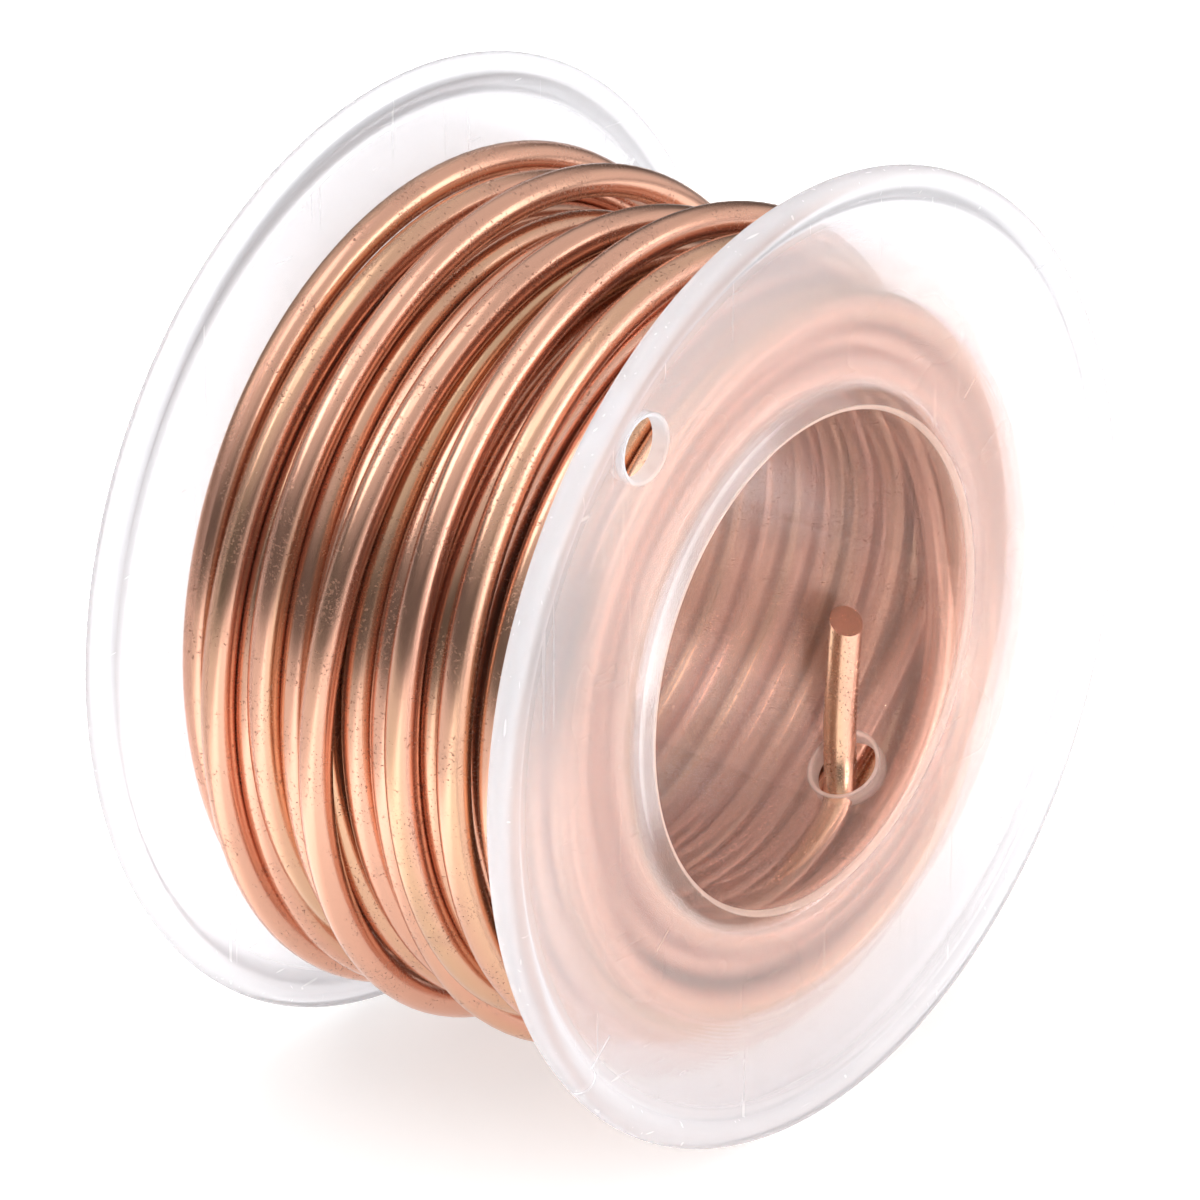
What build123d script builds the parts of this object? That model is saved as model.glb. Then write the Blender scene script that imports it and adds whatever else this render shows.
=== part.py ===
"""A small clear-plastic wire spool, wound with about five metres of bare copper wire.

Frame: the spool stands on its two rims. Y runs along the bore, with the front flange on the
-Y side, X runs to the right as the front flange is faced, and Z points up. The origin is the
middle of the bore. Millimetres.

The plastic is one moulding, given here as its hub and its two flanges, which meet face to
face. The wire is one length, given here as two tight layers, a third that has slackened and
hangs low, the top turns that lie over it, and the cut end that stands up inside the bore.
"""
from build123d import *
from math import cos, pi, radians, sin, sqrt
import os

# ---------------------------------------------------------------- driving dimensions
flange_diameter = 60.0  # over the rounded rims
overall_width = 32.2  # from the outside of one rim to the outside of the other
rim_bead_diameter = 1.9  # the round bead that runs round each flange
rim_blend = 0.25  # radius where the bead runs into the web
web_thickness = 1.1  # the flat disc of each flange
web_inset = 0.2  # how far the web's middle lies inside the bead's middle
bore_diameter = 30.6
bore_mouth_radius = 0.3  # rounding where the bore meets each flange's outer face
hub_wall = 1.1

tie_hole_diameter = 3.8  # hole in the front flange for tying off the wire
tie_hole_from_rim = 2.9  # from the bead's inner edge to the hole's centre
tie_hole_angle = 130.7  # degrees from +X towards +Z

wire_hole_diameter = 4.1  # hole in the hub wall for the inner end of the wire
wire_hole_distance = 4.7  # from the front web's mid-plane to the hole's centre
wire_hole_angle = -50.5  # degrees from +X towards +Z

wire_diameter = 2.05  # 12 gauge
turn_gap = 0.15  # the least space between neighbouring turns of a tight layer
slack_turn_count = 11  # turns in the slackened third layer
# the third layer has slackened into the depth that is left free below the rims, and these
# are shares of that depth
slack_widening = 0.3387  # how much its mean radius exceeds that of a tight layer
slack_shift_x = 0.0645  # how far the slackened turns' middle lies from the bore's axis
slack_shift_z = -0.2742
top_turn_count = 4  # turns that lie over the slackened layer
top_turn_start = 1  # turns of the slackened layer behind the first top turn

tail_height = 10.3  # how far the cut end stands above the middle of the wire hole
tail_lean_x = -0.6  # how far its tip leans along X and along Y over that height
tail_lean_y = -0.35
tail_cut_angle = 35.0  # slant that the pliers left on the tip

# ---------------------------------------------------------------- sizes that follow
rim_radius = rim_bead_diameter / 2
rim_circle_radius = flange_diameter / 2 - rim_radius
rim_plane = overall_width / 2 - rim_radius  # distance of each bead's middle from the centre
web_middle = rim_plane - web_inset
channel_width = 2 * web_middle - web_thickness  # between the two webs, where the wire lies

bore_radius = bore_diameter / 2
hub_radius = bore_radius + hub_wall

tie_hole_circle_radius = rim_circle_radius - rim_radius - tie_hole_from_rim

wire_radius = wire_diameter / 2
tight_turn_count = int(channel_width / (wire_diameter + turn_gap))
tight_pitch = channel_width / tight_turn_count
# each layer drops into the grooves of the one below it
tight_step = sqrt(wire_diameter**2 - (tight_pitch / 2) ** 2)
tight_radius = [hub_radius + wire_radius, hub_radius + wire_radius + tight_step]
sleeve_edges = [
    hub_radius,
    hub_radius + wire_radius + tight_step / 2,
    hub_radius + wire_radius + tight_step * 1.5,
]

slack_pitch = channel_width / slack_turn_count
tight_third_radius = tight_radius[1] + tight_step
free_depth = rim_circle_radius - rim_radius - tight_third_radius - wire_radius
slack_radius = tight_third_radius + slack_widening * free_depth
slack_places = [slack_pitch * (n + 0.5) - channel_width / 2 for n in range(slack_turn_count)]
slack_middle = (slack_shift_x * free_depth, 0, slack_shift_z * free_depth)
slack_plane = Plane(origin=slack_middle, x_dir=(1, 0, 0), z_dir=(0, 0, 1))
slack_axis = Axis(slack_middle, (0, 1, 0))

top_step = sqrt(wire_diameter**2 - (slack_pitch / 2) ** 2)
top_radius = slack_radius + top_step
first_groove = slack_places[-1 - top_turn_start] - slack_pitch / 2
top_places = [first_groove - n * slack_pitch for n in range(top_turn_count)]

wire_hole_plane = Plane(
    origin=(0, -web_middle + wire_hole_distance, 0),
    x_dir=(0, 1, 0),
    z_dir=(cos(radians(wire_hole_angle)), 0, sin(radians(wire_hole_angle))),
)
wire_hole_middle = wire_hole_plane.origin + wire_hole_plane.z_dir * (bore_radius + hub_wall / 2)
tail_tip = wire_hole_middle + Vector(tail_lean_x, tail_lean_y, tail_height)
tail_direction = (tail_tip - wire_hole_middle).normalized()

os.makedirs("parts", exist_ok=True)

# ---------------------------------------------------------------- the moulded spool
with BuildPart() as hub:
    with BuildSketch(Plane.XY):
        with Locations((bore_radius + hub_wall / 2, 0)):
            Rectangle(hub_wall, channel_width)
    revolve(axis=Axis.Y)
    with BuildSketch(wire_hole_plane):
        Circle(wire_hole_diameter / 2)
    extrude(amount=2 * hub_radius, mode=Mode.SUBTRACT)

hub.part.label = "hub"
export_step(hub.part, "parts/hub.step")

with BuildPart() as front_flange:
    with BuildSketch(Plane.XY) as flange_profile:
        with Locations(((bore_radius + rim_circle_radius) / 2, -web_middle)):
            Rectangle(rim_circle_radius - bore_radius, web_thickness)
        with Locations((rim_circle_radius, -rim_plane)):
            Circle(rim_radius)
        inner_corners = flange_profile.vertices().filter_by_position(
            Axis.X, rim_circle_radius - rim_radius, rim_circle_radius
        )
        fillet(inner_corners, rim_blend)
        mouth_corner = flange_profile.vertices().group_by(Axis.X)[0].sort_by(Axis.Y)[0]
        fillet(mouth_corner, bore_mouth_radius)
    revolve(axis=Axis.Y)

with BuildPart() as back_flange:
    mirror(front_flange.part, about=Plane.XZ)

back_flange.part.label = "back_flange"
export_step(back_flange.part, "parts/back_flange.step")

# only the front flange has the tie hole
with front_flange:
    with BuildSketch(Plane.XZ.offset(rim_plane + rim_radius)):
        with PolarLocations(tie_hole_circle_radius, 1, tie_hole_angle):
            Circle(tie_hole_diameter / 2)
    extrude(amount=-(rim_bead_diameter + web_thickness), mode=Mode.SUBTRACT)

front_flange.part.label = "front_flange"
export_step(front_flange.part, "parts/front_flange.step")

# ---------------------------------------------------------------- the wound wire
# the two tight layers are plain sleeves that fill the channel from web to web
with BuildPart() as wire_layer_1:
    with BuildSketch(Plane.XY):
        with Locations(((sleeve_edges[0] + sleeve_edges[1]) / 2, 0)):
            Rectangle(sleeve_edges[1] - sleeve_edges[0], channel_width)
    revolve(axis=Axis.Y)

wire_layer_1.part.label = "wire_layer_1"
export_step(wire_layer_1.part, "parts/wire_layer_1.step")

with BuildPart() as wire_layer_2:
    with BuildSketch(Plane.XY):
        with Locations(((sleeve_edges[1] + sleeve_edges[2]) / 2, 0)):
            Rectangle(sleeve_edges[2] - sleeve_edges[1], channel_width)
    revolve(axis=Axis.Y)

wire_layer_2.part.label = "wire_layer_2"
export_step(wire_layer_2.part, "parts/wire_layer_2.step")

# the slackened layer shows the round backs of its turns, about a middle of its own
with BuildSketch(slack_plane) as slack_profile:
    with Locations((slack_radius / 2, 0)):
        Rectangle(slack_radius, channel_width)
    with Locations(*[(slack_radius, place) for place in slack_places]):
        Circle(wire_radius)

with BuildPart() as wire_layer_3:
    add(slack_profile.sketch)
    revolve(axis=slack_axis)
    Cylinder(sleeve_edges[2], channel_width, rotation=(90, 0, 0), mode=Mode.SUBTRACT)

wire_layer_3.part.label = "wire_layer_3"
export_step(wire_layer_3.part, "parts/wire_layer_3.step")

# the top turns lie in the grooves of the slackened layer, towards the back flange
with BuildPart() as wire_top_turns:
    with BuildSketch(slack_plane):
        with Locations(((slack_radius + top_radius) / 2, (top_places[0] + top_places[-1]) / 2)):
            Rectangle(top_step, top_places[0] - top_places[-1])
        with Locations(*[(top_radius, place) for place in top_places]):
            Circle(wire_radius)
        add(slack_profile.sketch_local, mode=Mode.SUBTRACT)
    revolve(axis=slack_axis)

wire_top_turns.part.label = "wire_top_turns"
export_step(wire_top_turns.part, "parts/wire_top_turns.step")

# the inner end comes up through the hub and ends in a slanted cut
with BuildPart() as wire_tail:
    tail_root = wire_hole_middle - tail_direction * (2 * hub_wall + wire_diameter)
    with BuildSketch(Plane(origin=tail_root, z_dir=tail_direction)):
        Circle(wire_radius)
    extrude(amount=(tail_tip - tail_root).length + wire_diameter)
    cut_plane = Plane(origin=tail_tip, z_dir=tail_direction).rotated((tail_cut_angle, 0, 0))
    split(bisect_by=cut_plane, keep=Keep.BOTTOM)
    # it stops at the hub's outer face, where the first layer takes over
    Cylinder(hub_radius, channel_width, rotation=(90, 0, 0), mode=Mode.INTERSECT)

wire_tail.part.label = "wire_tail"
export_step(wire_tail.part, "parts/wire_tail.step")

# ---------------------------------------------------------------- figures for the maker
coiled_length = 2 * pi * (
    tight_turn_count * (tight_radius[0] + tight_radius[1])
    + slack_turn_count * slack_radius
    + top_turn_count * top_radius
)
print(f"tight turns in a layer {tight_turn_count}, pitch {tight_pitch:.3f}")
print(f"wire in the turns {coiled_length / 1000:.2f} m")
tail_length = wire_tail.part.volume / (pi * wire_radius**2)
print(f"straight tail {tail_length:.2f} mm long")
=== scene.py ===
"""The looks of a small clear-plastic wire spool, wound with bare copper wire.

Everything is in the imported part's own frame: the bore runs along Y with the front flange at -Y, the
spool stands on its two rims, Z is up, and the origin is the middle of the bore. Sizes are written
in millimetres and made metres where a mesh, a light or a camera is made.
"""
import math

import bmesh
import bpy
import numpy as np
from mathutils import Matrix, Vector


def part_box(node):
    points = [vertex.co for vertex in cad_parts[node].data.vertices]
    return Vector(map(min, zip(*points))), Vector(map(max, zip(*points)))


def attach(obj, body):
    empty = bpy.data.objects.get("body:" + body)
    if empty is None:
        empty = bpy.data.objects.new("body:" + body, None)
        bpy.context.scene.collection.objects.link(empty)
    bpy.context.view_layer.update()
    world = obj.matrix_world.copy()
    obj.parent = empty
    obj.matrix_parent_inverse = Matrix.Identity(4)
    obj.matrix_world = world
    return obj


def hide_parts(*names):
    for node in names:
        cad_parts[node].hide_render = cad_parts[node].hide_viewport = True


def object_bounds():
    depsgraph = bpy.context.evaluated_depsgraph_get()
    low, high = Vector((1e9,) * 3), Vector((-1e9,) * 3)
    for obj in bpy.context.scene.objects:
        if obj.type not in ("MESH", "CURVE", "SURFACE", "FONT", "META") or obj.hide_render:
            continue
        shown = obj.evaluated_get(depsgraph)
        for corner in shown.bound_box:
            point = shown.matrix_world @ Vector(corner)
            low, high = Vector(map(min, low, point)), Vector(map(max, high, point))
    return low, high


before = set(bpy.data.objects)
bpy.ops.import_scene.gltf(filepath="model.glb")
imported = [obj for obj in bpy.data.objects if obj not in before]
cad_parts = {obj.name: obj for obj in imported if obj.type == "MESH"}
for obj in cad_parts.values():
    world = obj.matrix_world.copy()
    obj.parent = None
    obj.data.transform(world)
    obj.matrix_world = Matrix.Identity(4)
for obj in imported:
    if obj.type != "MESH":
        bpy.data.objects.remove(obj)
cad_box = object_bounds()

MM = 0.001

# ---------------------------------------------------------------- sizes, in millimetres
hub_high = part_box("hub")[1]
flange_low, flange_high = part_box("front_flange")
HUB_RADIUS = hub_high.x / MM
WEB_INNER = hub_high.y / MM  # the webs' inner faces, where the channel for the wire ends
RIM_TOP = flange_high.x / MM
RIM_FACE = -flange_low.y / MM
BEAD_RADIUS = (flange_high.y - flange_low.y) / MM / 2
BEAD_CIRCLE = RIM_TOP - BEAD_RADIUS
BEAD_PLANE = RIM_FACE - BEAD_RADIUS
WEB_THICKNESS = 1.1
WEB_OUTER = WEB_INNER + WEB_THICKNESS
HUB_WALL = 1.1
BORE_RADIUS = HUB_RADIUS - HUB_WALL
MOUTH_ROUNDING = 0.3  # where the bore meets each web's outer face
BEAD_FOOT = 0.25  # the short slope from the bead's inner side down to the web
EDGE_ROUNDING = 0.12  # round both ends of the two holes
HOLE_MARGIN = 0.75  # from a hole's edge to the outline that it is let into

TIE_HOLE_RADIUS = 1.9
TIE_HOLE_CIRCLE = 25.2  # from the bore's axis to the hole's middle
TIE_HOLE_ANGLE = 130.7  # degrees from +X towards +Z, as all angles about the bore are
WIRE_HOLE_RADIUS = 2.05
WIRE_HOLE_PLACE = -10.25  # along the bore
WIRE_HOLE_ANGLE = -50.5

WIRE_DIAMETER = 2.05
WIRE_RADIUS = WIRE_DIAMETER / 2


# ---------------------------------------------------------------- how the wire is wound
STATIONS = 24  # points of the route in a turn
SPLINE_STEPS = 5  # points of the centre line for each of them
CHANGEOVER = -20.0  # degrees: where a turn passes to the next, on the right side
TIGHT_TURNS = 13  # in the first layer, with one fewer in the second
# the share of its control points' radius that a quadratic spline keeps on a circle
SPLINE_INSET = 0.75 + 0.25 * math.cos(2 * math.pi / STATIONS)

# the slackened third layer, from the front web to the back: how far along the axis each turn
# lies where it hangs lowest, on the left side, and on top
SLACK_ANGLES = [250, 180, 105]
SLACK_TURNS = [
    (-13.3, -13.3, -13.3),
    (-11.2, -11.1, -11.1),
    (-9.1, -9.0, -8.9),
    (-7.0, -6.2, -6.4),
    (-4.9, -4.3, -4.6),
    (-2.8, -0.8, -1.0),
    (-0.7, 1.4, 1.2),
    (1.4, 4.1, 4.0),
    (6.8, 6.4, 6.4),
    (9.3, 9.2, 9.4),
]
SLACK_STEP = 1.95  # how much further out than the second layer it lies where it doesn't hang
SLACK_SAG = 4.4  # how far it hangs away from the layer below at its lowest
FRONT_SAG = 0.6  # the same for the turn against the front web
FULL_SAG_FROM = -8.0  # how far along the axis the sag has grown from the one to the other

# the loose turns on top, from the back web to the front: (along the axis, radius) at these angles
LOOSE_ANGLES = [250, 215, 180, 140, 105, 70]
LOOSE_TURNS = np.array([
    [(12.2, 25.3), (13.0, 23.4), (13.2, 22.1), (13.1, 22.4), (12.7, 23.6), (12.2, 24.2)],
    [(11.0, 26.8), (11.2, 25.0), (10.9, 22.7), (10.6, 22.4), (10.5, 22.6), (10.2, 22.8)],
    [(9.0, 24.8), (8.1, 23.6), (7.5, 22.6), (7.4, 22.9), (6.7, 23.5), (6.9, 24.0)],
    [(4.5, 27.1), (3.4, 25.6), (2.6, 24.0), (1.8, 23.1), (1.3, 22.6), (1.4, 22.3)],
    [(-2.6, 25.3), (-3.6, 24.4), (-3.7, 23.8), (-3.2, 23.6), (-3.4, 24.0), (-4.0, 24.2)],
    [(-6.2, 25.2), (-6.8, 23.8), (-6.9, 22.8), (-6.6, 22.7), (-6.2, 22.8), (-6.2, 22.8)],
])

# the cut end, from its tip inside the bore down through the hole in the hub
TAIL = [
    (10.4, -9.8, -2.6),
    (10.25, -9.65, -6.5),
    (10.1, -9.6, -10.0),
    (9.85, -9.95, -12.6),
    (8.6, -10.8, -14.9),
]
STATIONS_BEFORE_HOLE = 4  # of the first turn, which are left out

# how readily the turns give way to each other when they settle
TIGHT_GIVE, SLACK_GIVE, LOOSE_GIVE = 0.0, 1.0, 0.25
SETTLING_ROUNDS = 160
CLEARANCE = 1.01  # the least distance between two turns' middles, in wire diameters
RETURN_SHARE = 0.1  # of the way back to where a turn was laid, in a round
PUSH_SHARE = 0.6  # of the way that would part two crowded turns
STIFF_SHARE = 0.3  # of the way to the mean of a point and its neighbours along the wire


def station_angle(station):
    """The wire goes clockwise as the front flange is faced, from the changeover on."""
    return CHANGEOVER - 360.0 * station / STATIONS


def tight_layers():
    """Two layers, turn by turn: the first fills the hub from web to web, and the second comes back
    in its grooves. Returns (along the axis, radius) at each station."""
    pitch = 2 * WEB_INNER / TIGHT_TURNS
    step = math.sqrt(WIRE_DIAMETER**2 - (pitch / 2) ** 2)
    inner, outer = HUB_RADIUS + WIRE_RADIUS, HUB_RADIUS + WIRE_RADIUS + step
    slots = pitch * (np.arange(TIGHT_TURNS) + 0.5) - WEB_INNER
    grooves = (slots[1:] + slots[:-1]) / 2
    # the hole in the hub lies a turn away from the web, so the wire first fills that corner
    turns = [(slots[1], inner), (slots[0], inner), (grooves[0], outer)]
    turns += [(place, inner) for place in slots[2:]]
    turns += [(place, outer) for place in grooves[:0:-1]]
    return np.repeat(np.array(turns), STATIONS, axis=0)


def between_places(turns, angles):
    """A value at every station of some turns, given at a few angles of each, with even change in
    between. Returns the stations too."""
    part_of_turn = ((CHANGEOVER - np.array(angles)) % 360) / 360
    known = (np.arange(len(turns))[:, None] + part_of_turn).ravel()
    stations = np.arange(len(turns) * STATIONS)
    return stations, np.interp(stations / STATIONS, known, np.array(turns).ravel())


def slack_layer(inner_radius):
    """The third layer, front to back: its turns drift from one place to the next, and their radius
    grows by the sag times the square of (1 + cosine of the angle from straight down) / 2. The sag
    is least at the front web and full a few turns behind it."""
    stations, along = between_places(SLACK_TURNS, SLACK_ANGLES)
    down = (1 + np.cos(np.radians(station_angle(stations) - 270))) / 2
    sag = np.interp(along, [SLACK_TURNS[0][0], FULL_SAG_FROM], [FRONT_SAG, SLACK_SAG])
    return np.column_stack([along, inner_radius + sag * down**2])


def loose_turns():
    """The top turns, from the places that are given for each."""
    parts = [between_places(LOOSE_TURNS[..., part], LOOSE_ANGLES)[1] for part in (0, 1)]
    return np.column_stack(parts)


def eased(route, weights=(1, 2, 3, 2, 1)):
    """Each point becomes the weighted mean of itself and its neighbours along the wire."""
    kernel = np.array(weights) / sum(weights)
    padded = np.pad(route, ((len(weights) // 2,) * 2, (0, 0)), mode="edge")
    parts = [np.convolve(padded[:, part], kernel, mode="valid") for part in (0, 1)]
    return np.column_stack(parts)


def settled(route, give):
    """Turns that lie nearer to each other than the wire is thick push each other away, at every
    station, in proportion to how readily each gives way. The wire's stiffness evens them out along
    its length, and each keeps being drawn back to where it was laid. The tight turns stay put."""
    count, laid = len(route), route.copy()
    moving = (give > 0)[:, None]
    reach = WEB_INNER - WIRE_RADIUS
    turns = -(-count // STATIONS)
    spare = np.full((turns * STATIONS - count, 2), 1e3)
    ease = np.append(give, np.zeros(len(spare))).reshape(turns, STATIONS)
    share = ease[:, None] / (ease[:, None] + ease[None, :] + 1e-9)
    for _ in range(SETTLING_ROUNDS):
        route = route + RETURN_SHARE * moving * (laid - route)
        section = np.concatenate([route, spare]).reshape(turns, STATIONS, 2)
        apart = section[:, None] - section[None, :]
        distance = np.sqrt((apart**2).sum(-1)) + 1e-9
        crowded = np.clip(CLEARANCE * WIRE_DIAMETER - distance, 0, None)
        crowded[np.arange(turns), np.arange(turns)] = 0
        push = ((crowded * share / distance)[..., None] * apart).sum(1)
        route = route + PUSH_SHARE * push.reshape(-1, 2)[:count]
        even = 0.5 * route + 0.25 * (np.roll(route, 1, axis=0) + np.roll(route, -1, axis=0))
        stiff = STIFF_SHARE * moving * np.ones(2)
        stiff[[0, -1]] = 0
        route = route * (1 - stiff) + even * stiff
        route[:, 0] = np.clip(route[:, 0], -reach, reach)
        route[:, 1] = np.maximum(route[:, 1], HUB_RADIUS + WIRE_RADIUS)
    return route


def wire_route():
    """All the control points of the wire, from the tip inside the bore to the outer end."""
    tight = tight_layers()
    slack = slack_layer(tight[-1, 1] + SLACK_STEP)
    loose = loose_turns()
    give = [TIGHT_GIVE, SLACK_GIVE, LOOSE_GIVE]
    give = np.repeat(give, [len(tight), len(slack), len(loose)])
    route = settled(eased(np.concatenate([tight, slack, loose])), give)
    angle = np.radians(station_angle(np.arange(len(route))))
    radius = route[:, 1] / SPLINE_INSET
    points = np.column_stack([radius * np.cos(angle), route[:, 0], radius * np.sin(angle)])
    return np.concatenate([TAIL, points[STATIONS_BEFORE_HOLE:]])


def centreline(name, points):
    """The points of a smooth spline that has the route as its control points, read back from
    Blender."""
    line = bpy.data.curves.new(name, "CURVE")
    line.dimensions = "3D"
    line.resolution_u = SPLINE_STEPS
    spline = line.splines.new("NURBS")
    spline.points.add(len(points) - 1)
    spline.points.foreach_set("co", np.column_stack([points * MM, np.ones(len(points))]).ravel())
    spline.order_u = 3
    spline.use_endpoint_u = True
    holder = bpy.data.objects.new(name, line)
    bpy.context.scene.collection.objects.link(holder)
    bpy.context.view_layer.update()
    evaluated = holder.evaluated_get(bpy.context.evaluated_depsgraph_get())
    mesh = bpy.data.meshes.new_from_object(evaluated)
    found = np.zeros(len(mesh.vertices) * 3)
    mesh.vertices.foreach_get("co", found)
    bpy.data.objects.remove(holder)
    bpy.data.curves.remove(line)
    bpy.data.meshes.remove(mesh)
    return found.reshape(-1, 3) / MM


# ---------------------------------------------------------------- meshes
MERGE_DISTANCE = 0.002
TUBE_SIDES = 20
# the slant that the pliers left on the wire's ends: which ring, and how far it leans, in radii
CUT_ENDS = ((0, 0.55), (-1, 0.4))
CUT_TURN = 2.2  # radians: the way in which they lean


def grid_faces(rows, columns, close_rows=False, close_columns=False):
    """Quads between the points of a grid, as indices into its points in row order."""
    row = np.arange(rows if close_rows else rows - 1)
    column = np.arange(columns if close_columns else columns - 1)
    row, column = np.meshgrid(row, column, indexing="ij")
    next_row, next_column = (row + 1) % rows, (column + 1) % columns
    corners = [
        row * columns + column,
        row * columns + next_column,
        next_row * columns + next_column,
        next_row * columns + column,
    ]
    return np.stack(corners, axis=-1)


def new_piece(name, points, faces, material, smooth=True):
    """A mesh object at the origin, with its place in its points."""
    mesh = bpy.data.meshes.new(name)
    mesh.from_pydata((points * MM).tolist(), [], faces)
    mesh.update()
    mesh.polygons.foreach_set("use_smooth", np.full(len(mesh.polygons), smooth))
    piece = bpy.data.objects.new(name, mesh)
    bpy.context.scene.collection.objects.link(piece)
    mesh.materials.append(material)
    return piece


def closed_up(piece):
    """Points that lie on each other become one, and every face is turned outwards."""
    work = bmesh.new()
    work.from_mesh(piece.data)
    bmesh.ops.remove_doubles(work, verts=work.verts, dist=MERGE_DISTANCE * MM)
    bmesh.ops.recalc_face_normals(work, faces=work.faces)
    work.to_mesh(piece.data)
    work.free()
    piece.data.update()


def frames_along(path):
    """Tangents, and two directions square to them and to each other: the first points away from
    the bore's axis, which the whole coil goes round."""
    tangent = np.gradient(path, axis=0)
    tangent /= np.linalg.norm(tangent, axis=1)[:, None]
    outward = path * [1, 0, 1]
    outward -= tangent * (outward * tangent).sum(1)[:, None]
    outward /= np.linalg.norm(outward, axis=1)[:, None]
    return tangent, outward, np.cross(tangent, outward)


def wire_tube(name, path, material):
    """A round section carried along the path: point (i, a) is path i, plus the wire's radius times
    (cosine a outwards plus sine a sideways). Both ends are cut on a slant and closed with a cap."""
    sides = TUBE_SIDES
    tangent, outward, sideways = frames_along(path)
    around = np.linspace(0, 2 * np.pi, sides, endpoint=False)
    cosine, sine = np.cos(around)[None, :, None], np.sin(around)[None, :, None]
    ring = cosine * outward[:, None] + sine * sideways[:, None]
    points = path[:, None] + WIRE_RADIUS * ring
    for end, lean in CUT_ENDS:
        points[end] += lean * WIRE_RADIUS * np.cos(around - CUT_TURN)[:, None] * tangent[end]
    corner = grid_faces(len(path), sides, close_columns=True).reshape(-1, 4)[:, ::-1]
    last = (len(path) - 1) * sides
    caps = [list(range(sides)), list(range(last + sides - 1, last - 1, -1))]
    piece = new_piece(name, points.reshape(-1, 3), corner.tolist() + caps, material)
    # the cut faces are flat, with a sharp edge round them
    edges = piece.data.edges
    ends = np.zeros(2 * len(edges), int)
    edges.foreach_get("vertices", ends)
    ends = ends.reshape(-1, 2)
    sharp = (ends.max(1) < sides) | (ends.min(1) >= last)
    sharp_edge = piece.data.attributes.new("sharp_edge", "BOOLEAN", "EDGE")
    sharp_edge.data.foreach_set("value", sharp)
    # the map says how far along the wire a point lies, and which share of the way round it
    uv = piece.data.uv_layers.new(name="along_and_round")
    length = np.append(0, np.cumsum(np.linalg.norm(np.diff(path, axis=0), axis=1)))
    along = np.repeat(length, sides)[corner]
    turn = np.tile(around / (2 * np.pi), len(path))[corner]
    # the last strip runs on past the seam, not back over the whole texture
    past_seam = turn.max(1, keepdims=True) - turn > 0.5
    turn = np.where(past_seam, turn + 1, turn)
    side_uv = np.stack([along, turn], axis=-1).reshape(-1, 2)
    cap_uv = np.zeros((2 * sides, 2))
    uv.data.foreach_set("uv", np.concatenate([side_uv, cap_uv]).ravel())
    return piece, length[-1]


# ---------------------------------------------------------------- the moulded spool
THETA_STEPS = 420  # cells round the bore
HOLE_STEPS = 14  # cells across the block that the wire's hole is let into
TIE_STEPS = 12  # the same for the tie hole
HUB_STEPS = 24  # cells along the rest of the hub, from that block to the back web
CORNER_STEPS = 3  # and to the front web
WEB_STEPS = 12  # cells across the back web
HALF_WEB_STEPS = 6  # cells across the front web, from the hub to the tie hole's block
MOUTH_STEPS, BEAD_STEPS = 5, 36
SKIN_STEPS, EDGE_STEPS = 4, 3  # cells from a hole's outline to its edge, and round the edge


def arc(centre, radius, start, stop, steps):
    """Points (radius from the axis, place along it) on a circle, from one angle to another."""
    angle = np.radians(np.linspace(start, stop, steps + 1))
    return np.column_stack([centre[0] + radius * np.cos(angle), centre[1] + radius * np.sin(angle)])


def face(level, start, stop, steps):
    """Points straight across a web at one place along the axis, from one radius to another."""
    return np.column_stack([np.linspace(start, stop, steps + 1), np.full(steps + 1, level)])


def wall(radius, start, stop, steps):
    """Points straight along the hub at one radius, from one place to another."""
    return np.column_stack([np.full(steps + 1, radius), np.linspace(start, stop, steps + 1)])


def flange_arcs():
    """The two round stretches of the back flange's section: the rounding at the bore's mouth, and
    the bead, from where it leaves the web's outer face to where its foot begins inside."""
    mouth_centre = (BORE_RADIUS + MOUTH_ROUNDING, WEB_OUTER - MOUTH_ROUNDING)
    mouth = arc(mouth_centre, MOUTH_ROUNDING, 180, 90, MOUTH_STEPS)
    reach = math.sqrt(BEAD_RADIUS**2 - (WEB_OUTER - BEAD_PLANE) ** 2)
    outer_meets = math.degrees(math.atan2(WEB_OUTER - BEAD_PLANE, -reach))
    inner_meets = math.degrees(math.atan2(-BEAD_RADIUS, -BEAD_FOOT))
    bead = arc((BEAD_CIRCLE, BEAD_PLANE), BEAD_RADIUS, outer_meets, inner_meets, BEAD_STEPS)
    return mouth, bead


class Section:
    """A closed section that grows stretch by stretch, as (radius, place along the axis) points."""

    def __init__(self):
        self.points = np.zeros((0, 2))

    def add(self, points):
        """Adds a stretch, and returns where its first and last points lie in the list."""
        start = len(self.points)
        self.points = np.concatenate([self.points, points])
        return start, len(self.points) - 1


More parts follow.
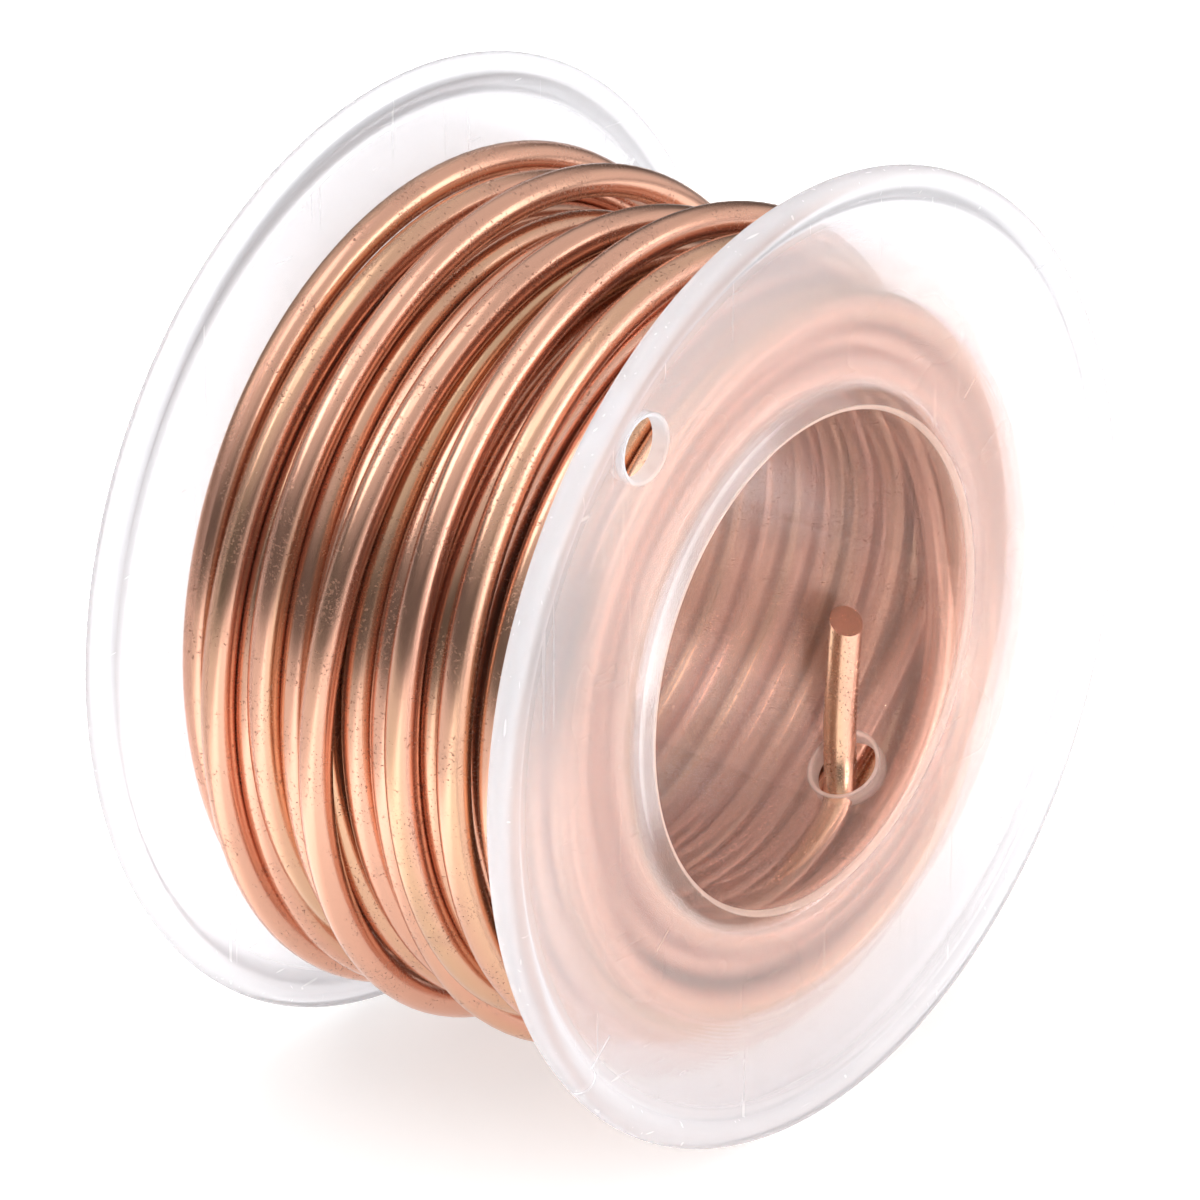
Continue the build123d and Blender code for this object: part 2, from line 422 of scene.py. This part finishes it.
def whole_section():
    """Round the section once: bore, back web and bead, hub outside, front bead and web. Returns the
    points too where the blocks of cells start and stop that the two holes are let into."""
    section = Section()
    mouth, bead = flange_arcs()
    flip = np.array([1, -1])
    tie_near = TIE_HOLE_CIRCLE - TIE_HOLE_RADIUS - HOLE_MARGIN
    tie_far = TIE_HOLE_CIRCLE + TIE_HOLE_RADIUS + HOLE_MARGIN
    hole_front = WIRE_HOLE_PLACE - WIRE_HOLE_RADIUS - HOLE_MARGIN
    hole_back = WIRE_HOLE_PLACE + WIRE_HOLE_RADIUS + HOLE_MARGIN
    mouth_end = WEB_OUTER - MOUTH_ROUNDING
    mouth_edge = BORE_RADIUS + MOUTH_ROUNDING
    places = {}
    section.add(wall(BORE_RADIUS, -mouth_end, hole_front, CORNER_STEPS)[1:-1])
    places["bore"] = section.add(wall(BORE_RADIUS, hole_front, hole_back, HOLE_STEPS))
    section.add(wall(BORE_RADIUS, hole_back, mouth_end, HUB_STEPS)[1:-1])
    section.add(mouth)
    section.add(face(WEB_OUTER, mouth_edge, bead[0, 0], WEB_STEPS)[1:-1])
    section.add(bead)
    section.add(face(WEB_INNER, bead[-1, 0] - BEAD_FOOT, HUB_RADIUS, WEB_STEPS)[:-1])
    section.add(wall(HUB_RADIUS, WEB_INNER, hole_back, HUB_STEPS)[:-1])
    places["hub"] = section.add(wall(HUB_RADIUS, hole_back, hole_front, HOLE_STEPS))
    section.add(wall(HUB_RADIUS, hole_front, -WEB_INNER, CORNER_STEPS)[1:])
    section.add(face(-WEB_INNER, HUB_RADIUS, tie_near, HALF_WEB_STEPS)[1:-1])
    places["inner_face"] = section.add(face(-WEB_INNER, tie_near, tie_far, TIE_STEPS))
    section.add((bead * flip)[::-1])
    places["outer_face"] = section.add(face(-WEB_OUTER, tie_far, tie_near, TIE_STEPS))
    section.add(face(-WEB_OUTER, tie_near, mouth_edge, HALF_WEB_STEPS)[1:-1])
    section.add((mouth * flip)[::-1])
    return section.points, places


def turned(section, angles):
    """Point (i, t) is the section's point i turned about the bore's axis by angle t."""
    radius, along = section[:, 0, None], section[:, 1, None]
    flat = np.broadcast_to(along, (len(section), len(angles)))
    return np.stack([radius * np.cos(angles), flat, radius * np.sin(angles)], axis=-1)


def outline_of(rows, columns):
    """The grid indices round the edge of a block of cells, in order, without repeating a corner."""
    (top, bottom), (left, right) = rows, columns
    across, down = np.arange(left, right), np.arange(top, bottom)
    return np.concatenate([
        np.column_stack([np.full(len(across), top), across]),
        np.column_stack([down, np.full(len(down), right)]),
        np.column_stack([np.full(len(across), bottom), across[::-1] + 1]),
        np.column_stack([down[::-1] + 1, np.full(len(down), left)]),
    ])


def hole_skin(near_edge, far_edge, near_to_hole, far_to_hole):
    """The faces round a hole and its wall, as one grid. Row by row: the outline on the near face
    is drawn in to the hole's rounded edge, the edge turns a quarter circle into the wall, and the
    same backwards on the far face. The two functions give a row of points from an outline, the way
    in, as drawn_in has it, and the depth below the face."""
    turn = np.radians(np.linspace(0, 90, EDGE_STEPS + 1))[1:]
    steps_in = [(way, 0.0) for way in np.linspace(0, 1, SKIN_STEPS + 1)]
    steps_in += [(1 + np.sin(a), EDGE_ROUNDING * (1 - np.cos(a))) for a in turn]
    rows = [near_to_hole(near_edge, way, depth) for way, depth in steps_in]
    rows += [far_to_hole(far_edge, way, depth) for way, depth in steps_in[::-1]]
    return np.array(rows)


def drawn_in(flat, radius, way):
    """Flat points about a hole's middle, drawn in along their own directions: way 0 leaves them,
    way 1 puts them where the edge's rounding starts, and way 2 on the hole's wall."""
    distance = np.linalg.norm(flat, axis=1, keepdims=True)
    goal = radius + EDGE_ROUNDING
    if way > 1:
        return flat / distance * (goal - EDGE_ROUNDING * (way - 1))
    return flat * (1 - way) + flat / distance * goal * way


def spool_moulding(name, material):
    """The whole moulding in one closed skin: the turned section with two blocks of cells left out,
    and the skins of the two holes in their place."""
    section, places = whole_section()
    angles = np.radians(TIE_HOLE_ANGLE + np.arange(THETA_STEPS) * 360 / THETA_STEPS)
    body = turned(section, angles)
    keep = np.ones((len(section), THETA_STEPS), bool)
    step = 360 / THETA_STEPS

    def block(centre_angle, half_width, radius, rows):
        middle = round((centre_angle - TIE_HOLE_ANGLE) / step)
        half = math.ceil(math.degrees(half_width / radius) / step)
        columns = (middle - half, middle + half)
        keep[rows[0]:rows[1], np.arange(*columns) % THETA_STEPS] = False
        edge = outline_of(rows, columns)
        return body[edge[:, 0], edge[:, 1] % THETA_STEPS]

    # the tie hole, square through the front web
    tie_half = TIE_HOLE_RADIUS + HOLE_MARGIN
    tie_angle = math.radians(TIE_HOLE_ANGLE)
    tie_middle = TIE_HOLE_CIRCLE * np.array([math.cos(tie_angle), math.sin(tie_angle)])

    def on_web(level, inward):
        def place(edge, way, depth):
            flat = drawn_in(edge[:, [0, 2]] - tie_middle, TIE_HOLE_RADIUS, way) + tie_middle
            return np.column_stack([flat[:, 0], np.full(len(flat), level + inward * depth), flat[:, 1]])
        return place

    outer = block(TIE_HOLE_ANGLE, tie_half, TIE_HOLE_CIRCLE, places["outer_face"])
    inner = block(TIE_HOLE_ANGLE, tie_half, TIE_HOLE_CIRCLE, places["inner_face"])
    # the two outlines run opposite ways round, because the section turns back on itself
    inner = inner[[np.argmin(np.linalg.norm((inner - p)[:, [0, 2]], axis=1)) for p in outer]]
    tie_skin = hole_skin(outer, inner, on_web(-WEB_OUTER, 1), on_web(-WEB_INNER, -1))

    # the hole for the wire's inner end, through the hub's wall
    hub_angle = math.radians(WIRE_HOLE_ANGLE)

    def on_hub(radius, inward):
        def place(edge, way, depth):
            turn = np.arctan2(edge[:, 2], edge[:, 0]) - hub_angle
            turn = (turn + np.pi) % (2 * np.pi) - np.pi
            flat = np.column_stack([radius * np.sin(turn), edge[:, 1] - WIRE_HOLE_PLACE])
            flat = drawn_in(flat, WIRE_HOLE_RADIUS, way)
            spot = hub_angle + np.arcsin(flat[:, 0] / radius)
            level = radius + inward * depth
            along = flat[:, 1] + WIRE_HOLE_PLACE
            return np.column_stack([level * np.cos(spot), along, level * np.sin(spot)])
        return place

    hole_half = WIRE_HOLE_RADIUS + HOLE_MARGIN
    bore_side = block(WIRE_HOLE_ANGLE, hole_half, BORE_RADIUS, places["bore"])
    hub_side = block(WIRE_HOLE_ANGLE, hole_half, BORE_RADIUS, places["hub"])
    scale = np.array([BORE_RADIUS / HUB_RADIUS, 1, BORE_RADIUS / HUB_RADIUS])
    hub_side = hub_side[[np.argmin(np.linalg.norm(hub_side * scale - p, axis=1)) for p in bore_side]]
    wire_skin = hole_skin(bore_side, hub_side, on_hub(BORE_RADIUS, 1), on_hub(HUB_RADIUS, -1))

    faces = grid_faces(len(section), THETA_STEPS, close_rows=True, close_columns=True)[keep]
    points, all_faces = [body.reshape(-1, 3)], [faces.reshape(-1, 4)]
    for skin in (tie_skin, wire_skin):
        start = sum(len(p) for p in points)
        points.append(skin.reshape(-1, 3))
        all_faces.append(start + grid_faces(*skin.shape[:2], close_columns=True).reshape(-1, 4))
    piece = new_piece(name, np.concatenate(points), np.concatenate(all_faces).tolist(), material)
    closed_up(piece)
    return piece


# ---------------------------------------------------------------- materials
class Socket:
    """A value in a material's node tree. Arithmetic on it adds Math nodes."""

    def __init__(self, shader, output):
        self.shader, self.output = shader, output

    def _math(self, operation, first, second=None):
        inputs = {0: first} if second is None else {0: first, 1: second}
        return self.shader.node("ShaderNodeMath", {"operation": operation}, inputs)

    def __add__(self, other):
        return self._math("ADD", self, other)

    __radd__ = __add__

    def __sub__(self, other):
        return self._math("SUBTRACT", self, other)

    def __rsub__(self, other):
        return self._math("SUBTRACT", other, self)

    def __mul__(self, other):
        return self._math("MULTIPLY", self, other)

    __rmul__ = __mul__

    def __pow__(self, other):
        return self._math("POWER", self, other)

    def most(self, other):
        return self._math("MAXIMUM", self, other)

    def size(self):
        return self._math("ABSOLUTE", self)

    def sine(self):
        return self._math("SINE", self)

    def cosine(self):
        return self._math("COSINE", self)

    def ramp(self, low, high, to_low=0.0, to_high=1.0):
        """A smooth step from to_low at low to to_high at high."""
        return self.shader.node(
            "ShaderNodeMapRange",
            {"interpolation_type": "SMOOTHSTEP"},
            {0: self, 1: low, 2: high, 3: to_low, 4: to_high},
        )


class Shader:
    """A material's node tree, with one method that adds any node."""

    def __init__(self, name):
        self.material = bpy.data.materials.new(name)
        self.material.use_nodes = True
        self.tree = self.material.node_tree
        self.tree.nodes.clear()

    @classmethod
    def of(cls, tree):
        """For a tree that exists already, such as the world's."""
        made = cls.__new__(cls)
        made.tree = tree
        return made

    def node(self, kind, settings=None, inputs=None, output=0):
        """Adds a node, sets its settings, then its inputs as values or links."""
        made = self.tree.nodes.new(kind)
        for key, value in (settings or {}).items():
            setattr(made, key, value)
        for key, value in (inputs or {}).items():
            if isinstance(value, Socket):
                self.tree.links.new(value.output, made.inputs[key])
            else:
                made.inputs[key].default_value = value
        return Socket(self, made.outputs[output])

    def coordinates(self, kind):
        return self.node("ShaderNodeTexCoord", output=kind)

    def parts(self, vector):
        made = self.node("ShaderNodeSeparateXYZ", inputs={0: vector})
        outputs = made.output.node.outputs
        return [Socket(self, outputs[number]) for number in range(3)]

    def together(self, x, y, z):
        return self.node("ShaderNodeCombineXYZ", inputs={0: x, 1: y, 2: z})

    def stretched(self, vector, scale):
        return self.node("ShaderNodeMapping", inputs={"Vector": vector, "Scale": scale})

    def noise(self, vector, scale, detail=2.0, roughness=0.5):
        inputs = {"Vector": vector, "Scale": scale, "Detail": detail, "Roughness": roughness}
        return self.node("ShaderNodeTexNoise", {}, inputs)

    def mix(self, share, first, second):
        """A colour between two."""
        settings = {"data_type": "RGBA", "clamp_factor": True}
        return self.node("ShaderNodeMix", settings, {0: share, 6: first, 7: second}, output=2)

    def bump(self, height, distance, strength):
        inputs = {"Height": height, "Distance": distance, "Strength": strength}
        return self.node("ShaderNodeBump", {}, inputs)

    def blend(self, share, first, second):
        """A surface between two."""
        return self.node("ShaderNodeMixShader", {}, {0: share, 1: first, 2: second})

    def finish(self, surface):
        """Joins a surface to the output, and returns the material."""
        end = self.tree.nodes.new("ShaderNodeOutputMaterial")
        self.tree.links.new(surface.output, end.inputs["Surface"])
        return self.material


def copper():
    """Drawn bare copper: satin, with fine lines along the wire, small dark pits in patches, and a
    slow change of tint from rosy to golden."""
    shader = Shader("bare_copper")
    along, around, _ = shader.parts(shader.coordinates("UV"))
    # the wire as if drawn out straight, in millimetres, so that a pattern meets itself at the seam
    turn = around * (2 * math.pi)
    across = turn.cosine() * WIRE_RADIUS
    upright = turn.sine() * WIRE_RADIUS
    place = shader.together(along, across, upright)
    # the less the way along the wire counts, the longer a pattern's marks are
    long_place = shader.together(along * 0.035, across, upright)
    fine_place = shader.together(along * 0.08, across, upright)
    slow_place = shader.together(along * 0.02, across * 0.35, upright * 0.35)
    lines = shader.noise(long_place, 9.0, 3.0, 0.65)
    fine_lines = shader.noise(fine_place, 34.0, 2.0, 0.6)
    tint = shader.noise(slow_place, 1.0, 2.0)
    patches = shader.noise(place, 0.35, 3.0, 0.6)
    pits = shader.noise(place, 5.5, 3.0, 0.7)
    speckle = pits.ramp(0.575, 0.655) * patches.ramp(0.44, 0.58)
    rosy = (0.76, 0.415, 0.295, 1)
    golden = (0.70, 0.425, 0.265, 1)
    dark = (0.22, 0.10, 0.065, 1)
    dull = (0.52, 0.30, 0.215, 1)
    base = shader.mix(tint.ramp(0.46, 0.70), rosy, golden)
    base = shader.mix(patches.ramp(0.52, 0.74, 0.0, 0.35), base, dull)
    base = shader.mix(fine_lines.ramp(0.60, 0.70, 0.0, 0.25), base, dull)
    base = shader.mix(speckle * 0.7, base, dark)
    roughness = 0.13 + lines * 0.08 + patches * 0.08 + speckle * 0.25
    height = lines * 0.6 + fine_lines * 0.5 - speckle * 0.8
    normal = shader.bump(height, 0.012 * MM, 0.55)
    inputs = {"Base Color": base, "Metallic": 0.9, "Roughness": roughness, "Normal": normal}
    return shader.finish(shader.node("ShaderNodeBsdfPrincipled", {}, inputs))


PARTING = math.radians(40.5)  # the plane through the bore's axis in which the mould opened
RING_PITCH = 0.24  # between the fine rings that the mould's turned face has left


def rough_edges(x, y, z):
    """1 on the walls of the two holes and on the bore's rounded mouths, which are rougher and
    whiter than the faces, and 0 elsewhere. A hole's wall is what lies near the hole's own axis."""
    tie = math.radians(TIE_HOLE_ANGLE)
    aside = x - TIE_HOLE_CIRCLE * MM * math.cos(tie)
    above = z - TIE_HOLE_CIRCLE * MM * math.sin(tie)
    from_axis = (aside * aside + above * above) ** 0.5
    tie_wall = from_axis.ramp((TIE_HOLE_RADIUS + 0.15) * MM, (TIE_HOLE_RADIUS + 0.35) * MM, 1.0, 0.0)
    tie_wall = tie_wall * y.ramp(-2 * MM, -1 * MM, 1.0, 0.0)
    hub = math.radians(WIRE_HOLE_ANGLE)
    aside = z * math.cos(hub) - x * math.sin(hub)
    along = y - WIRE_HOLE_PLACE * MM
    from_axis = (aside * aside + along * along) ** 0.5
    hub_wall = from_axis.ramp((WIRE_HOLE_RADIUS + 0.15) * MM, (WIRE_HOLE_RADIUS + 0.45) * MM, 1.0, 0.0)
    hub_wall = hub_wall * (x * math.cos(hub) + z * math.sin(hub)).ramp(1 * MM, 2 * MM)
    radius = (x * x + z * z) ** 0.5
    mouth = radius.ramp((BORE_RADIUS + 0.25) * MM, (BORE_RADIUS + 0.4) * MM, 1.0, 0.0)
    mouth = mouth * y.size().ramp((WEB_OUTER - 0.45) * MM, (WEB_OUTER - 0.25) * MM)
    return tie_wall.most(hub_wall).most(mouth)


def milky(shader, colour, normal):
    """The cloudy share of the plastic: part of the light passes on, part of it is thrown back."""
    passing = shader.node("ShaderNodeBsdfTranslucent", {}, {"Color": colour, "Normal": normal})
    thrown_back = shader.node("ShaderNodeBsdfDiffuse", {}, {"Color": colour, "Normal": normal})
    return shader.blend(0.4, passing, thrown_back)


def witness_lines(radius, y, off_plane):
    """1 on the short lines that the mould's halves have left on both webs, where they met."""
    on_plane = off_plane.size().ramp(0.05 * MM, 0.10 * MM, 1.0, 0.0)
    near_rim = radius.ramp(25.9 * MM, 26.1 * MM)
    near_bore = radius.ramp(18.6 * MM, 18.8 * MM) * radius.ramp(20.1 * MM, 20.3 * MM, 1.0, 0.0)
    on_web = y.size().ramp(15.2 * MM, 15.3 * MM)
    return on_plane * near_rim.most(near_bore) * on_web


def clear_plastic():
    """Milky clear polypropylene: rough clear plastic, plain see-through and milk, mixed."""
    shader = Shader("milky_polypropylene")
    place = shader.coordinates("Object")
    x, y, z = shader.parts(place)
    cloud = shader.noise(place, 90.0, 2.0)
    grain = shader.noise(place, 1400.0, 2.0)
    scratch_a = shader.noise(shader.stretched(place, (2600, 2600, 60)), 1.0, 1.0)
    scratch_b = shader.noise(shader.stretched(place, (300, 2600, 2600)), 1.0, 1.0)
    scratches = scratch_a.ramp(0.72, 0.76) + scratch_b.ramp(0.74, 0.78)
    radius = (x * x + z * z) ** 0.5
    # the turned face's rings are strongest in patches
    rings = (radius * (2 * math.pi / (RING_PITCH * MM))).sine()
    turned_face = rings * cloud.ramp(0.50, 0.66)
    height = grain * 0.08 - scratches * 0.6 + turned_face * 0.8
    normal = shader.bump(height, 0.004 * MM, 0.5)
    off_plane = z * math.cos(PARTING) - x * math.sin(PARTING)
    witness = witness_lines(radius, y, off_plane)
    # the round rim is thicker, and hides more of what lies behind it than the flat webs do
    rim = radius.ramp(26.9 * MM, 27.7 * MM)
    # painted copper glow: where the winding lies against it, the milk is given the copper's warm
    # colour, which stands in for the copper's light scattered in the plastic
    copper_glow_share = radius.ramp(21.0 * MM, 26.5 * MM, 1.0, 0.0)
    # the hub is thin and clear, and shows the turns round it
    hub = radius.ramp(16.45 * MM, 16.9 * MM, 1.0, 0.0)
    inputs = {
        "Base Color": (0.965, 0.955, 0.98, 1),
        "Roughness": 0.21 + cloud * 0.06,
        "IOR": 1.49,
        "Transmission Weight": 1.0,
        "Normal": normal,
    }
    glass = shader.node("ShaderNodeBsdfPrincipled", {}, inputs)
    through = shader.node("ShaderNodeBsdfTransparent", {}, {"Color": (0.975, 0.965, 0.985, 1)})
    clear = shader.blend(0.44 - rim * 0.34 + hub * 0.26, glass, through)
    cool_milk = milky(shader, (0.965, 0.97, 1.0, 1), normal)
    # painted copper glow: this milk's warm colour stands in for light from the copper behind the web
    painted_copper_glow_milk = milky(shader, (0.98, 0.79, 0.69, 1), normal)
    milk = shader.blend(copper_glow_share, cool_milk, painted_copper_glow_milk)
    share = 0.13 + cloud * 0.06 + rim * 0.12 - hub * 0.05 + scratches * 0.10
    share = share + witness * 0.4 + rough_edges(x, y, z) * 0.6
    return shader.finish(shader.blend(share, clear, milk))


# ---------------------------------------------------------------- the pieces
spool = spool_moulding("spool", clear_plastic())
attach(spool, "root")
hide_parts("hub", "front_flange", "back_flange")

path = centreline("wire_route", wire_route())
wire, wire_length = wire_tube("wire", path, copper())
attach(wire, "root")
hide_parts("wire_tail", "wire_layer_1", "wire_layer_2", "wire_layer_3", "wire_top_turns")


# ---------------------------------------------------------------- floor, light and camera
FLOOR_HALF = 3000.0
BLACK, WHITE = (0.0, 0.0, 0.0, 1), (1.0, 1.0, 1.0, 1)
LEFT = (-0.621, 0.784)  # level, to the left as the camera looks
FRONT_RIGHT = (0.5, -0.87)  # level, where the surroundings are brightest

CAMERA_AZIMUTH = -51.6
CAMERA_ELEVATION = 24.0
CAMERA_DISTANCE = 550.0
CAMERA_OFFSET = (-0.69, -0.26)  # to the right and upwards
CAMERA_LENS = 275.3
CAMERA_SENSOR = 36
CAMERA_REACH = 100  # metres


def floor_with_painted_light():
    """A pale floor with painted light: it glows a little near the object and fades out further away."""
    shader = Shader("pale_floor")
    x, y, _ = shader.parts(shader.coordinates("Object"))
    away = (x * x + y * y) ** 0.5
    near = away.ramp(170 * MM, 520 * MM, 1.0, 0.0)
    # painted light: the floor's own colour is paler near the object as well
    colour = shader.mix(near, (0.42, 0.42, 0.42, 1), (0.60, 0.60, 0.60, 1))
    glow = shader.mix(near, BLACK, WHITE)
    # painted shadow: it glows less under the object, in an oval that is longest across the bore
    painted_shadow_oval = ((x * 0.6) ** 2.0 + y * y) ** 0.5
    glow = shader.mix(painted_shadow_oval.ramp(12 * MM, 44 * MM, 0.6, 1.0), BLACK, glow)
    # painted light: a bright band just left of the object, which the copper's lower turns reflect, and
    # less glow further out on that side
    left = y * LEFT[1] + x * LEFT[0]
    painted_bright_band = left.ramp(20 * MM, 34 * MM, 0.0, 0.8) * left.ramp(44 * MM, 60 * MM, 1.0, 0.0)
    strength = left.ramp(50 * MM, 85 * MM, 0.95, 0.4) + painted_bright_band
    glow = shader.mix(strength * 0.5, BLACK, glow)
    inputs = {
        "Base Color": colour,
        "Roughness": 0.9,
        "Emission Color": glow,
        "Emission Strength": 2.0,
    }
    return shader.finish(shader.node("ShaderNodeBsdfPrincipled", {}, inputs))


def floor():
    """A wide flat sheet that the two rims stand on."""
    level = cad_box[0].z / MM
    corners = [(-1, -1, level), (1, -1, level), (1, 1, level), (-1, 1, level)]
    corners = np.array(corners) * [FLOOR_HALF, FLOOR_HALF, 1]
    sheet = new_piece("floor", corners, [[0, 1, 2, 3]], floor_with_painted_light(), smooth=False)


def soft_box(name, place, size, power, towards=(0, 0, 0)):
    """A rectangular light that faces a point. Its power is in watts."""
    light = bpy.data.lights.new(name, "AREA")
    light.shape = "RECTANGLE"
    light.size, light.size_y = size[0] * MM, size[1] * MM
    light.energy = power
    lamp = bpy.data.objects.new(name, light)
    bpy.context.scene.collection.objects.link(lamp)
    at = Vector(place) * MM
    turn = (at - Vector(towards) * MM).to_track_quat("Z", "Y").to_matrix().to_4x4()
    lamp.matrix_world = Matrix.Translation(at) @ turn
    return lamp


def narrow_beam(name, place, size, power, towards):
    """A small oval light with a narrow beam, which lights what it faces and isn't seen itself."""
    lamp = soft_box(name, place, size, power, towards)
    lamp.data.shape = "ELLIPSE"
    lamp.data.spread = math.radians(8)
    lamp.visible_camera = False
    lamp.visible_glossy = False


def camera():
    """Looks down at the object from the front left, with the bore's middle near the middle."""
    azimuth, elevation = math.radians(CAMERA_AZIMUTH), math.radians(CAMERA_ELEVATION)
    back = Vector((
        math.sin(azimuth) * math.cos(elevation),
        -math.cos(azimuth) * math.cos(elevation),
        math.sin(elevation),
    ))
    right = Vector((0, 0, 1)).cross(back).normalized()
    up = back.cross(right)
    data = bpy.data.cameras.new("camera")
    data.lens = CAMERA_LENS
    data.sensor_width = CAMERA_SENSOR
    data.clip_end = CAMERA_REACH
    holder = bpy.data.objects.new("camera", data)
    bpy.context.scene.collection.objects.link(holder)
    place = (back * CAMERA_DISTANCE + right * CAMERA_OFFSET[0] + up * CAMERA_OFFSET[1]) * MM
    turn = Matrix((right, up, back)).transposed().to_4x4()
    holder.matrix_world = Matrix.Translation(place) @ turn
    bpy.context.scene.camera = holder


def surroundings():
    """A world that is dim below, brighter above, and brightest at the front right."""
    world = bpy.data.worlds.new("studio")
    world.use_nodes = True
    sky = Shader.of(world.node_tree)
    aside, behind, height = sky.parts(sky.coordinates("Generated"))
    front_right = (aside * FRONT_RIGHT[0] + behind * FRONT_RIGHT[1]).ramp(0.15, 0.75, 0.0, 0.9)
    strength = height.ramp(0.28, 0.72, 0.08, 0.80).most(front_right)
    background = sky.tree.nodes["Background"]
    background.inputs["Color"].default_value = WHITE
    sky.tree.links.new(strength.output, background.inputs["Strength"])
    bpy.context.scene.world = world


floor()
soft_box("light_above", (-120, 60, 420), (300, 300), 0.35)
soft_box("light_left", (-260, 300, 330), (260, 200), 0.45)
soft_box("light_front", (230, -420, 170), (320, 240), 0.5)
soft_box("light_low_front", (30, -460, 60), (320, 260), 0.9)
narrow_beam("light_bore", (-81, -112, 34), (19, 26), 0.0024, towards=(0, -16, 0))
surroundings()
camera()
bpy.context.scene.view_settings.view_transform = "Standard"
